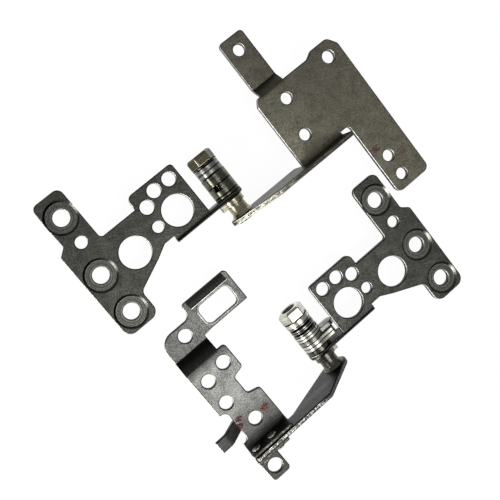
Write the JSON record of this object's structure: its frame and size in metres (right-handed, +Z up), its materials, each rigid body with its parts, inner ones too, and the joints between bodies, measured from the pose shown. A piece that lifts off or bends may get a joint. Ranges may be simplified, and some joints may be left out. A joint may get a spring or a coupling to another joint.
{
  "type": "pair of laptop hinges",
  "caption": "Pair of friction hinges for a laptop lid: stamped lid plates with sunk screw bosses turn on short spring-loaded shafts held by bent base brackets.",
  "frame": {"origin": "middle of the pair's footprint, at its lowest point", "axes": "+Y along the shafts towards the nuts, +Z up out of the plates, +X across the shafts towards the left hinge's bracket"},
  "size_m": [0.0698, 0.0742, 0.0129],
  "materials": {
    "lid_sheet": "satin",
    "left_sheet": "satin",
    "right_sheet": "satin",
    "arm_sheet": "satin",
    "spring_steel": "oiled black",
    "turned_steel": "bright",
    "nickel": "bright"
  },
  "bodies": {
    "base_brackets": {"left_base_bracket": "left_sheet", "left_disc_spring_1": "spring_steel", "left_disc_spring_2": "spring_steel", "left_friction_sleeve": "nickel", "left_lock_nut": "nickel", "left_pressure_washer": "nickel", "left_shaft": "turned_steel", "right_base_bracket": "right_sheet", "right_disc_spring_1": "spring_steel", "right_disc_spring_2": "spring_steel", "right_disc_spring_3": "spring_steel", "right_disc_spring_4": "spring_steel", "right_foot_clip": "right_sheet", "right_friction_washer_1": "nickel", "right_friction_washer_2": "nickel", "right_hinge_arm": "arm_sheet", "right_lock_nut": "nickel", "right_pressure_washer": "nickel", "right_rivet_1": "turned_steel", "right_rivet_2": "turned_steel", "right_shaft": "turned_steel"},
    "left_lid": {"left_bearing_washer": "nickel", "left_lid_plate": "lid_sheet", "left_thrust_sleeve": "nickel"},
    "right_lid": {"right_bearing_washer": "nickel", "right_lid_plate": "lid_sheet", "right_lock_plate": "spring_steel", "right_tab_washer_1": "nickel", "right_tab_washer_2": "nickel"}
  },
  "joints": [
    {"name": "left_lid_turn", "type": "hinge", "parent": "base_brackets", "child": "left_lid", "pos_m": [-0.0012, 0.012, 0.003], "axis": [0, -1, 0], "range_deg": [0, 180]},
    {"name": "right_lid_turn", "type": "hinge", "parent": "base_brackets", "child": "right_lid", "pos_m": [-0.0064, -0.025, 0.003], "axis": [0, 1, 0], "range_deg": [0, 180]}
  ]
}
